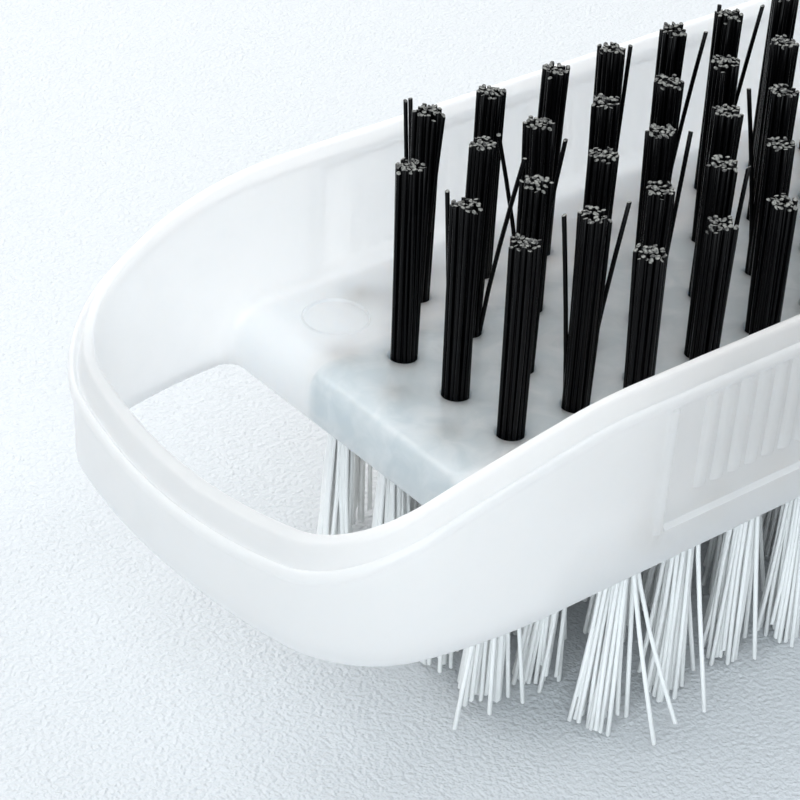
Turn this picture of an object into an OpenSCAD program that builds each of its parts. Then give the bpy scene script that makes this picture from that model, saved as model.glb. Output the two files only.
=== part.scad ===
// Two-sided nail brush.
// One moulded frame: an oblong band wall with a stepped rim that sweeps down to an
// open bow at each end, and a solid deck across the middle. Stiff upper tufts and
// soft lower tufts stand in blind holes of the deck, each held by a short flat wire.
// Lengths are millimetres. X runs along the brush, Y across it, Z up.
// The origin lies on the plane of the lower bristle tips, under the middle.

/* [Tuft field] */
// Distance from one row of tufts to the next, along the brush
row_distance = 5.6; // [5:0.1:7]
// Distance from tuft to tuft within a row
cross_distance = 5.5; // [5:0.1:7]
// Diameter of a tuft hole
hole_d = 2; // [1.8:0.05:2.4]
// Depth of a tuft hole
hole_depth = 3; // [2.7:0.1:3.4]

/* [Upper bristles] */
// Free length of the stiff upper bristles, above the deck
upper_len = 14.5; // [8:0.5:20]
// Width of one upper strand
upper_strand = 0.58; // [0.4:0.02:0.58]
// Distance of an upper strand from its tuft's axis, along each diagonal leg
upper_offset = 0.36; // [0.34:0.01:0.37]
// Outward lean of the upper strands, in degrees
upper_lean = 1.5; // [0:0.5:3]

/* [Lower bristles] */
// Free length of the soft lower bristles, below the deck
lower_len = 15.9; // [8:0.1:20]
// Width of one lower strand
lower_strand = 0.52; // [0.4:0.02:0.52]
// Distance of a lower strand from its tuft's axis
lower_offset = 0.48; // [0.44:0.01:0.5]
// Outward lean of the lower strands, in degrees
lower_lean = 4; // [0:0.5:4.5]
// Depth of the flat trim that levels all bristle tips
trim_depth = 0.5; // [0.3:0.1:1]

/* [Deck] */
// Thickness of the deck
deck_t = 4; // [3.8:0.1:6]
// Length of deck beyond the outermost upper row
deck_margin = 6.2; // [5.4:0.1:9]
// Round along the deck's end edge beside the side walls
deck_end_round = 2.2; // [0.5:0.1:3]
// Half width of the sharp middle stretch of the deck's end edge
deck_end_crisp = 7.2; // [3:0.1:9]
// Radius of the hollow corner between the deck's end and the wall
cove_r = 1.6; // [0.5:0.1:3]
// Radius of the hollow fillet between the deck and the side walls
fillet_r = 1.2; // [0.4:0.1:1.6]

/* [Band wall] */
// Thickness of the band wall
wall_t = 1.7; // [1.2:0.1:2.2]
// Distance from the outermost lower tuft to the inner face of the wall
side_margin = 2.6; // [1.6:0.1:5]
// Clear length of the open bow at each end
bow_gap = 15.3; // [14:0.1:22]
// Radius of the bow's corners, on the wall's outer face
corner_r = 8.1; // [6:0.1:10]
// Radius of the gentle curve that starts each corner
shoulder_r = 42; // [36:1:60]
// Angle that the gentle curve turns through, in degrees
shoulder_turn = 13; // [8:1:16]
// Radius of the bow's end
end_r = 50; // [45:1:80]

/* [Rim] */
// Height of the rim above the deck, along the straight sides
rim_h = 10.3; // [8:0.1:12]
// Length of level rim beyond the outermost upper row
rim_level = 1; // [0:0.1:4]
// Radius of the rim's sweep down towards the bow
rim_sweep_r = 34; // [30:1:44]
// Steepest slope of the rim's sweep, in degrees
rim_slope = 34; // [24:1:35]
// Width of the inner lip on top of the wall
lip_w = 0.85; // [0.6:0.05:1]
// Drop from the inner lip to the outer lip
lip_drop = 0.7; // [0.4:0.05:1]
// Height of the outer lip
bead_h = 1; // [0.6:0.05:1.2]
// Overhang of the outer lip beyond the wall
bead_out = 0.45; // [0.2:0.05:0.7]

/* [Grip panels] */
// Depth of the sunk panel on each long side
panel_depth = 0.4; // [0.2:0.05:0.5]
// Distance from the outermost upper row in to the panel's end
panel_inset = 1.7; // [0:0.1:6]
// Height of the plain band left under the panel, from the wall's lower edge
panel_sill = 2.9; // [2:0.1:4]
// Distance between the grip ribs
rib_distance = 1.5; // [1.2:0.1:2.5]
// Radius of a half-round grip rib
rib_r = 0.38; // [0.2:0.02:0.4]
// Plain stretch between the panel's end and its first rib
rib_inset = 3.2; // [1:0.1:4]
// Plain stretch between the panel's lower edge and the ribs
rib_lift = 1.9; // [0.5:0.1:3]
// Plain stretch between the ribs and the outer lip
rib_clear = 0.4; // [0.2:0.1:1]

/* [Pin marks] */
// Diameter of the round mark that a mould pin leaves at each corner of the deck
mark_d = 4.4; // [3:0.1:4.6]
// Depth of the pin mark
mark_depth = 0.12; // [0.05:0.01:0.3]
// Distance of the mark beyond the outermost upper row
mark_beyond = 0.8; // [0:0.1:1.5]
// Distance of the mark from the inner face of the wall, to its centre
mark_inset = 4.5; // [3:0.1:5]

/* [Anchor wires] */
// Length of a flat anchor wire, across its hole and into the deck
anchor_l = 2.6; // [2.5:0.05:2.8]
// Thickness of an anchor wire
anchor_t = 0.36; // [0.25:0.01:0.5]
// Height of an anchor wire
anchor_h = 1.4; // [1:0.05:1.6]

/* [Hidden] */
// Clearance between a tuft's root and its hole, and round an anchor wire
root_gap = 0.05;
anchor_gap = 0.02;
// Depth of a tuft's fused root below the hole's mouth
root_sink = 0.3;
// Extra length of a cut beyond the face that it opens
overrun = 1;
// Roundness of drawn circles
round_fn = 96;
hole_fn = 32;
// A quarter turn, in degrees
quarter = 90;
// Steps along each arc of a bow's outline and along the rim's sweep
shoulder_steps = 4;
corner_steps = 11;
end_steps = 4;
sweep_steps = 9;

// Counts of the tuft pattern
upper_rows = 10;
upper_across = 5;
lower_rows = upper_rows + 1;
lower_across = upper_across + 1;
corner_gaps = 2;
strand_sides = 4;
upper_strands = 4;
lower_strands = 3;
// Typical turn of an anchor wire from the length of the brush, in degrees
anchor_turn = 37;
// Share of the lean by which strands differ from each other
lean_share = 0.2;

// Levels, from the plane of the lower tips up
deck_low = lower_len;
deck_top = deck_low + deck_t;
rim_top = deck_top + rim_h;

// Plan of the frame
field_half = (upper_rows - 1) / 2 * row_distance;
deck_half = field_half + deck_margin;
inner_half_w = (lower_across - 1) / 2 * cross_distance + side_margin;
half_w = inner_half_w + wall_t;
half_l = deck_half + bow_gap + wall_t;

// Centres of the three arcs of a bow, for the quarter with positive X and Y
shoulder_y = half_w - shoulder_r;
corner_y = shoulder_y + (shoulder_r - corner_r) * cos(shoulder_turn);
end_turn = asin(corner_y / (end_r - corner_r));
end_x = half_l - end_r;
corner_x = end_x + (end_r - corner_r) * cos(end_turn);
shoulder_x = corner_x - (shoulder_r - corner_r) * sin(shoulder_turn);

// Sweep of the rim
level_half = field_half + rim_level;
sweep_x = level_half + rim_sweep_r * sin(rim_slope);
sweep_fall = rim_sweep_r * (1 - cos(rim_slope));
far_x = half_l + bead_out + overrun;

// Grip panel
panel_half = field_half - panel_inset;
panel_low = deck_low + panel_sill;
panel_top = rim_top - lip_drop - bead_h;
rib_pairs = floor((panel_half - rib_inset) / rib_distance + 0.5);

two_digits = [for (k = [1 : lower_rows]) k < 10 ? str("0", k) : str(k)];
UPPER = [for (k = [0 : upper_rows - 1]) str("upper_tuft_row_", two_digits[k])];
LOWER = [for (k = [0 : lower_rows - 1]) str("lower_tuft_row_", two_digits[k])];

// Places of the tufts in row k: the end rows lack their two outermost tufts
function row_count(k, rows, across) = (k == 0 || k == rows - 1) ? across - corner_gaps : across;
function row_places(k, rows, across) =
    let (n = row_count(k, rows, across))
    [for (m = [0 : n - 1]) [(k - (rows - 1) / 2) * row_distance, (m - (n - 1) / 2) * cross_distance]];
function all_places(rows, across) =
    [for (k = [0 : rows - 1]) each row_places(k, rows, across)];
upper_places = all_places(upper_rows, upper_across);
lower_places = all_places(lower_rows, lower_across);

// A repeatable number from -1 to 1 for the tuft at a place, another for each purpose
turn_seed = 3;
wire_seed = 5;
lean_seed = 11;
row_seed = 7;
cross_seed = 31;
function wobble(p, seed) =
    rands(-1, 1, 1, row_seed * p[0] / row_distance + cross_seed * p[1] / cross_distance + seed)[0];

function ray(a, r) = [r * cos(a), r * sin(a)];

// Points on an arc round c after its first one, from angle a to angle b in n steps
function arc(c, r, a, b, n) = [for (k = [1 : n]) c + ray(a + (b - a) * k / n, r)];
function flip_y(points) = [for (k = [len(points) - 1 : -1 : 0]) [points[k][0], -points[k][1]]];
function flip_x(points) = [for (k = [len(points) - 1 : -1 : 0]) [-points[k][0], points[k][1]]];

// The oblong outline of the band, moved outwards by out: straight sides, then a
// gentle shoulder arc, a corner arc and an end arc that meet smoothly
function bow_quarter(out) = concat(
    [[shoulder_x, half_w + out]],
    arc([shoulder_x, shoulder_y], shoulder_r + out, quarter, quarter - shoulder_turn, shoulder_steps),
    arc([corner_x, corner_y], corner_r + out, quarter - shoulder_turn, end_turn, corner_steps),
    arc([end_x, 0], end_r + out, end_turn, end_turn / end_steps, end_steps - 1)
);
function bow_half(out) = concat(bow_quarter(out), flip_y(bow_quarter(out)));
module band_outline(out) {
    polygon(concat(bow_half(out), flip_x(bow_half(out))));
}

// The line of the rim, lowered by drop: level over the tufts, then an arc, then a
// straight slope down to the bow
function rim_half(drop) = concat(
    [[level_half, rim_top - drop]],
    arc([level_half, rim_top - drop - rim_sweep_r], rim_sweep_r,
        quarter, quarter - rim_slope, sweep_steps),
    [[far_x, rim_top - drop - sweep_fall - (far_x - sweep_x) * tan(rim_slope)]]
);

// The space under that line, across the whole frame
module under_rim(drop) {
    low = deck_low - overrun;
    rotate([90, 0, 0])
        linear_extrude(height = 2 * (half_w + bead_out + overrun), center = true)
            polygon(concat(flip_x(rim_half(drop)), rim_half(drop), [[far_x, low], [-far_x, low]]));
}

// A ring between two outlines, as tall as the whole wall
module ring(inside, outside) {
    translate([0, 0, deck_low]) linear_extrude(height = rim_top - deck_low) difference() {
        band_outline(outside);
        band_outline(inside);
    }
}

// The wall with its stepped rim
module band_wall() {
    intersection() {
        ring(-wall_t, lip_w - wall_t);
        under_rim(0);
    }
    intersection() {
        ring(lip_w - wall_t, 0);
        under_rim(lip_drop);
    }
    intersection() {
        ring(0, bead_out);
        difference() {
            under_rim(lip_drop);
            under_rim(lip_drop + bead_h);
        }
    }
}

// The deck's plan, which ends in hollow corners against the wall
module deck_plan() {
    square([2 * deck_half, 2 * inner_half_w + wall_t], center = true);
    for (mx = [0, 1], my = [0, 1]) mirror([mx, 0]) mirror([0, my])
        translate([deck_half, inner_half_w - cove_r]) difference() {
            square([cove_r, cove_r + wall_t / 2]);
            translate([cove_r, 0]) circle(r = cove_r, $fn = round_fn);
        }
}

// The hollow fillets along the deck's two long sides, sunk a little into the deck
module side_fillets() {
    run = deck_half - deck_end_round;
    for (my = [0, 1]) mirror([0, my, 0])
        translate([-run, inner_half_w - fillet_r, deck_top]) difference() {
            translate([0, 0, -fillet_r]) cube([2 * run, fillet_r + wall_t / 2, 2 * fillet_r]);
            translate([-overrun, 0, fillet_r]) rotate([0, 90, 0])
                cylinder(r = fillet_r, h = 2 * (run + overrun), $fn = round_fn);
        }
}

// What is cut off the deck's end edge beside the walls to round it
module end_rounding() {
    run = inner_half_w - cove_r - deck_end_crisp;
    for (mx = [0, 1], my = [0, 1]) mirror([mx, 0]) mirror([0, my])
        translate([deck_half - deck_end_round, deck_end_crisp, deck_top - deck_end_round])
            difference() {
                cube([deck_end_round + overrun, run, deck_end_round + overrun]);
                translate([0, -overrun, 0]) rotate([-90, 0, 0])
                    cylinder(r = deck_end_round, h = run + 2 * overrun, $fn = round_fn);
            }
}

// Blind holes with a side slot for the anchor wire, opening upwards from z = 0
module tuft_holes(places) {
    for (p = places) translate([p[0], p[1], -hole_depth]) {
        cylinder(d = hole_d, h = hole_depth + overrun, $fn = hole_fn);
        anchor_at(p, anchor_gap);
    }
}

// The flat wire at the bottom of a hole, grown all round by a gap
module anchor_at(p, gap) {
    rotate([0, 0, anchor_turn * (1 + wobble(p, wire_seed))])
        translate([-anchor_l / 2 - gap, -anchor_t / 2 - gap, 0])
            cube([anchor_l + 2 * gap, anchor_t + 2 * gap, anchor_h + gap]);
}

// The sunk grip panel of one long side and the half-round ribs that stand in it
module grip_recess() {
    translate([-panel_half, half_w - panel_depth, panel_low])
        cube([2 * panel_half, panel_depth + overrun, panel_top - panel_low]);
}
module grip_ribs() {
    for (mx = [0, 1], k = [1 : rib_pairs]) mirror([mx, 0, 0])
        translate([(k - 0.5) * rib_distance, half_w - panel_depth, panel_low + rib_lift])
            cylinder(r = rib_r, h = panel_top - rib_clear - panel_low - rib_lift, $fn = hole_fn);
}

module pin_marks() {
    for (mx = [0, 1], my = [0, 1]) mirror([mx, 0, 0]) mirror([0, my, 0])
        translate([field_half + mark_beyond, inner_half_w - mark_inset, deck_top - mark_depth])
            cylinder(d = mark_d, h = mark_depth + overrun, $fn = round_fn);
}

module brush_frame() {
    color([0.9, 0.93, 0.95]) {
        difference() {
            union() {
                band_wall();
                translate([0, 0, deck_low]) linear_extrude(height = deck_t) deck_plan();
                side_fillets();
            }
            end_rounding();
            pin_marks();
            for (my = [0, 1]) mirror([0, my, 0]) grip_recess();
            translate([0, 0, deck_top]) tuft_holes(upper_places);
            translate([0, 0, deck_low]) mirror([0, 0, 1]) tuft_holes(lower_places);
        }
        for (my = [0, 1]) mirror([0, my, 0]) grip_ribs();
    }
}

// The fused root of a tuft, from the top of its anchor wire to just below the mouth,
// with a corner behind each strand and one between
module tuft_root(strands) {
    translate([0, 0, anchor_h - hole_depth])
        cylinder(d = hole_d - 2 * root_gap, h = hole_depth - anchor_h - root_sink, $fn = 2 * strands);
}

// One four-sided strand that starts inside the root and leans outwards
module strand(width, from_axis, lean, length) {
    bury = (hole_depth - anchor_h - root_sink) / 2;
    translate([from_axis, 0, -root_sink - bury]) rotate([0, lean, 0])
        rotate([0, 0, 180 / strand_sides])
            cylinder(d = width / cos(180 / strand_sides), h = length + root_sink + bury,
                     $fn = strand_sides);
}

// A row of tufts that stand up from z = 0, with all tips trimmed to one level
module tuft_row(places, strands, width, from_axis, lean, length) {
    for (p = places) translate([p[0], p[1], 0])
    rotate([0, 0, wobble(p, turn_seed) * quarter / strands]) {
        tuft_root(strands);
        intersection() {
            for (s = [0 : strands - 1])
                rotate([0, 0, (s + 1 / 2) * 360 / strands])
                    strand(width, from_axis, lean * (1 + lean_share * wobble(p, lean_seed + s)),
                           length + trim_depth);
            translate([0, 0, length / 2 - hole_depth / 2])
                cube([row_distance, cross_distance, length + hole_depth], center = true);
        }
    }
}

module upper_row(k) {
    color([0.06, 0.06, 0.07]) translate([0, 0, deck_top])
        tuft_row(row_places(k, upper_rows, upper_across), upper_strands, upper_strand,
                 upper_offset * sqrt(2), upper_lean, upper_len);
}

module lower_row(k) {
    color([0.93, 0.94, 0.93]) translate([0, 0, deck_low]) mirror([0, 0, 1])
        tuft_row(row_places(k, lower_rows, lower_across), lower_strands, lower_strand,
                 lower_offset, lower_lean, lower_len);
}

module upper_anchor_wires() {
    color([0.75, 0.75, 0.74]) translate([0, 0, deck_top - hole_depth])
        for (p = upper_places) translate([p[0], p[1], 0]) anchor_at(p, 0);
}

module lower_anchor_wires() {
    color([0.75, 0.75, 0.74]) translate([0, 0, deck_low + hole_depth]) mirror([0, 0, 1])
        for (p = lower_places) translate([p[0], p[1], 0]) anchor_at(p, 0);
}

brush_frame();
for (k = [0 : upper_rows - 1]) upper_row(k);
for (k = [0 : lower_rows - 1]) lower_row(k);
upper_anchor_wires();
lower_anchor_wires();
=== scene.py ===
"""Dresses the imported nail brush: a frosted band frame with a deck, stiff black tufts above it
and soft milky tufts below it, on a pale fine-grained floor. Lengths are written in millimetres
and turned into metres by MM."""
import math

import bmesh
import bpy
import numpy as np
from mathutils import Matrix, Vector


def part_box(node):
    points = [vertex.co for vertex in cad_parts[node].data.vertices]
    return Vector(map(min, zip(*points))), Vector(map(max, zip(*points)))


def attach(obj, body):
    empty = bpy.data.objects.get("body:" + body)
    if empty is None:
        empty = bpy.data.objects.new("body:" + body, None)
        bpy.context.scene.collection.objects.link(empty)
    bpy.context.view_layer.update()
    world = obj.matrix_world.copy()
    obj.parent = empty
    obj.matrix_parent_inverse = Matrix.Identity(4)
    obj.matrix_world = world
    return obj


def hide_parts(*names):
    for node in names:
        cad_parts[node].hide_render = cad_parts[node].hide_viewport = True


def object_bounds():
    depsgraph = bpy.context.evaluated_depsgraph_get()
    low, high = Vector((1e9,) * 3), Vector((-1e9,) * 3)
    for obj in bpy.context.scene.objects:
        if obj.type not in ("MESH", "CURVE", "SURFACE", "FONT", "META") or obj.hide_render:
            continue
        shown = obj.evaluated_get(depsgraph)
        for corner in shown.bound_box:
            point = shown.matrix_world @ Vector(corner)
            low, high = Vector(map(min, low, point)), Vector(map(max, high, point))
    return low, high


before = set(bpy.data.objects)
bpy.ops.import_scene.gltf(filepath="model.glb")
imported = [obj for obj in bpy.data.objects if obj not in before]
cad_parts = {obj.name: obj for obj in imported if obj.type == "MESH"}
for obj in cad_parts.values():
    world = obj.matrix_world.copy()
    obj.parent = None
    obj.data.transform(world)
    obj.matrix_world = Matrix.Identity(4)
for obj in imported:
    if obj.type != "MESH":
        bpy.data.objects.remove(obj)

bl_info = {
    "name": "Two-sided nail brush",
    "version": (1, 0, 0),
    "blender": (4, 5, 0),
    "location": "View3D > Sidebar > Nail Brush",
    "description": "Builds the surfaces and finishes of a two-sided nail brush",
    "category": "Add Mesh",
}

MM = 0.001
CAD_BOX = [list(corner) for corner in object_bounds()]
UPPER_NODES = sorted(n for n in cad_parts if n.startswith("upper_tuft_row_"))
LOWER_NODES = sorted(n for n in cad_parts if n.startswith("lower_tuft_row_"))
WIRE_NODES = ["upper_anchor_wires", "lower_anchor_wires"]
FRAME_LOW, FRAME_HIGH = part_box("brush_frame")
# Tufts across a full row of each side
UPPER_ACROSS, LOWER_ACROSS = 5, 6


def hex_to_linear(code):
    """An sRGB colour such as #F4F7F9 as the linear red, green and blue that Blender keeps."""
    parts = [int(code[i:i + 2], 16) / 255 for i in (1, 3, 5)]
    return tuple(c / 12.92 if c <= 0.04045 else ((c + 0.055) / 1.055) ** 2.4 for c in parts)


def length(name, about, millimetres):
    """A length that a user can set, given here in millimetres."""
    return bpy.props.FloatProperty(name=name, description=about, default=millimetres * MM,
                                   unit="LENGTH", precision=5)


def angle(name, about, degrees):
    """An angle that a user can set, given here in degrees."""
    return bpy.props.FloatProperty(name=name, description=about,
                                   default=math.radians(degrees), subtype="ANGLE")


def colour(name, about, code):
    """A colour that a user can set, given here as an sRGB hex value."""
    return bpy.props.FloatVectorProperty(name=name, description=about, subtype="COLOR",
                                         size=3, min=0, max=1, default=hex_to_linear(code))


def number(name, about, value, **limits):
    """A plain number of 0 or more that a user can set."""
    return bpy.props.FloatProperty(name=name, description=about, default=value, min=0, **limits)


def whole(name, about, value):
    """A whole number of 1 or more that a user can set."""
    return bpy.props.IntProperty(name=name, description=about, default=value, min=1)


class FrameSizes(bpy.types.PropertyGroup):
    """Sizes of the moulded frame"""
    half_width: length("Half width", "From the middle to the wall's foot, outside", 17.85)
    half_length: length("Half length", "From the middle to a bow's foot, outside", 48.34)
    wall: length("Wall", "Thickness of the band wall at its foot", 1.6)
    draft_out: angle("Outer draft", "Outward lean of the wall's outer face", 1.6)
    draft_in: angle("Inner draft", "Outward lean of the wall's inner face", 2.2)
    shoulder_r: length("Shoulder radius", "Gentle curve that starts a bow's corner", 42)
    shoulder_turn: angle("Shoulder turn", "Angle that the gentle curve turns through", 13)
    corner_r: length("Corner radius", "Radius of a bow's corner", 8.1)
    end_r: length("End radius", "Radius of a bow's end", 50)
    level_half: length("Level rim", "Half length of the level stretch of rim", 26.2)
    sweep_r: length("Rim sweep", "Radius of the rim's sweep down to the bow", 34)
    rim_slope: angle("Rim slope", "Steepest slope of the rim", 34)
    bead_out: length("Bead", "How far the outer bead stands out of the wall", 0.27)
    bead_drop: length("Bead drop", "From the lip's top down to the bead's crest", 1.0)
    groove: length("Groove", "From the bead's crest down to the groove", 0.5)
    foot_round: length("Foot rounding", "Radius on the wall's lower outer edge", 0.35)
    inner_round: length("Inner rounding", "Radius on the lower edges of the bow openings", 0.2)
    deck: length("Deck", "Thickness of the deck", 4)
    deck_half: length("Deck half length", "From the middle to the deck's end face", 31.4)
    fillet: length("Fillet", "Hollow fillet between the deck and the wall", 1.2)
    end_round: length("End rounding", "Round on the deck's end edge beside the walls", 2.2)
    crisp_round: length("Crisp rounding", "Round on the middle of the deck's end edge", 0.4)
    crisp_half: length("Crisp half width", "Half width of that middle stretch", 6.9)
    crisp_blend: length("Crisp blend", "Width in which one round becomes the other", 1.2)
    cross_step: length("Cross step", "Distance between the tufts of a row", 5.5)
    hole_d: length("Hole", "Diameter of a tuft hole", 2)
    hole_depth: length("Hole depth", "Depth of a tuft hole", 3)
    panel_half: length("Panel half length", "Half length of a grip panel", 23.333)
    ridge: length("Ridge", "Height of the soft ridge at the grip panel's ends", 0.3)
    ridge_width: length("Ridge width", "Width of that ridge", 1.0)
    panel_depth: length("Panel depth", "Depth of the sunk grip panel", 0.4)
    rib_pitch: length("Rib pitch", "Distance between the grip ribs", 1.5)
    rib_high: length("Rib height", "Height of a rounded grip rib", 0.38)
    rib_wide: length("Rib half width", "Half width of a grip rib at its root", 0.5)
    rib_half: length("Ribbed half length", "Half length of the ribbed stretch", 20.9)
    mark_d: length("Pin mark", "Diameter of a mould pin's round mark", 4.4)
    mark_depth: length("Pin mark depth", "Depth of a mould pin's round mark", 0.12)
    burr: length("Burr", "Height and width of the thin burr round a pin mark", 0.1)


class Patches:
    """Surface patches that share their border points and are welded into one closed mesh."""

    def __init__(self):
        self.points, self.faces, self.count = [], [], 0

    def add(self, points):
        """Keeps points, of any shape ending in 3, and returns their numbers in that shape."""
        points = np.asarray(points, float)
        numbers = self.count + np.arange(points[..., 0].size).reshape(points.shape[:-1])
        self.points.append(points.reshape(-1, 3))
        self.count += numbers.size
        return numbers

    def grid(self, points, keep=None):
        """A sheet of quads over a grid of points, without those where keep is false."""
        n = self.add(points)
        quads = np.stack([n[:-1, :-1], n[1:, :-1], n[1:, 1:], n[:-1, 1:]], axis=-1)
        self.faces += (quads.reshape(-1, 4) if keep is None else quads[keep]).tolist()
        return n

    def fans(self, rings, centres):
        """Triangles from each closed ring of points, (n, m) numbers, to its centre, (n,)."""
        after = np.roll(rings, -1, axis=1)
        middle = np.broadcast_to(centres[:, None], rings.shape)
        self.faces += np.stack([rings, after, middle], axis=-1).reshape(-1, 3).tolist()

    def ringed(self, rings):
        """Closed bands of quads between rings of points, shaped (n, rings, m, 3)."""
        n = self.add(rings)
        after = np.roll(n, -1, axis=2)
        quads = np.stack([n[:, :-1], after[:, :-1], after[:, 1:], n[:, 1:]], axis=-1)
        self.faces += quads.reshape(-1, 4).tolist()
        return n

    def mesh(self, name):
        """The welded mesh, with all faces turned outwards."""
        made = bpy.data.meshes.new(name)
        made.from_pydata(np.concatenate(self.points).tolist(), [], self.faces)
        work = bmesh.new()
        work.from_mesh(made)
        bmesh.ops.remove_doubles(work, verts=work.verts, dist=0.002 * MM)
        bmesh.ops.recalc_face_normals(work, faces=work.faces)
        work.to_mesh(made)
        work.free()
        return made


def ease(t):
    """A smooth step: 0 below 0, 1 above 1, and 3t^2 - 2t^3 between."""
    t = np.clip(t, 0.0, 1.0)
    return t * t * (3.0 - 2.0 * t)


def both_ways(half):
    """A rising row of numbers from 0 as a row from minus its last to plus its last."""
    return np.concatenate([-half[:0:-1], half])


def quarter_turns(steps):
    """Angles from 0 to a quarter turn."""
    return np.linspace(0, math.pi / 2, steps + 1)


def points_of(x, y, z):
    """Points from three arrays of coordinates that broadcast to one shape."""
    return np.stack(np.broadcast_arrays(x, y, z), axis=-1)


def rounded(corners, steps):
    """A quadratic B-spline: on each inner corner, a parabola between the middles of its sides."""
    corners = np.asarray(corners, float)
    middles = (corners[1:] + corners[:-1]) / 2
    t = np.linspace(0, 1, steps, endpoint=False)[None, :, None]
    curve = ((1 - t) ** 2 * middles[:-1, None] + 2 * t * (1 - t) * corners[1:-1, None]
             + t ** 2 * middles[1:, None])
    return np.concatenate([curve.reshape(-1, corners.shape[1]), middles[-1:]])


# Steps along the sides of a tuft's cell, round the deck's end edge and up its end face
CELL_STEPS, ROUND_STEPS, FACE_STEPS = 12, 5, 5
# Steps round the fillet, the foot's outer edge, the openings' lower edges and a rim's corner
FILLET_STEPS, FOOT_STEPS, EDGE_STEPS, RIM_STEPS = 4, 4, 3, 4
# Steps down the wall's inner face, and steps of a grip panel between two of the wall's stations
INNER_STEPS, FINE = 9, 6
# Steps along a bow's shoulder, its corner and half its end
SHOULDER_STEPS, CORNER_STEPS, END_STEPS = 12, 26, 10
# Rows of the outer wall face above its foot, with the grip panel's and its ribs' own rows,
# in millimetres above the foot where the rim is level
OUTER_ROWS = (0.35, 1.6, 2.75, 2.95, 4.5, 4.85, 4.95, 5.1, 5.5, 7.6, 10.1, 11.6, 11.9, 12.05,
              12.13, 12.25, 12.42)
# The first and the last of these rows that lie on a grip panel
PANEL_FIRST, PANEL_LAST = 2, 15
# Width of the flat strip beside the lower tufts, and how far the pin marks' middles lie in
# from the corners of the upper tufts' field, in millimetres
BRIM, MARK_IN = 0.25, (2, 1.9)
# Bevel of a tuft hole's mouth and width of a pin mark's sloping side, in millimetres
HOLE_BEVEL, MARK_SLOPE = 0.08, 0.3
# From how many degrees on an edge is drawn sharp
SHARP_EDGE = 40
# How much of a rib's height each panel row has
RIB_SHARES = (0, 0, 0, 0, 0.62, 0.92, 1, 1, 1, 1, 0.92, 0.62, 0, 0)


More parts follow.
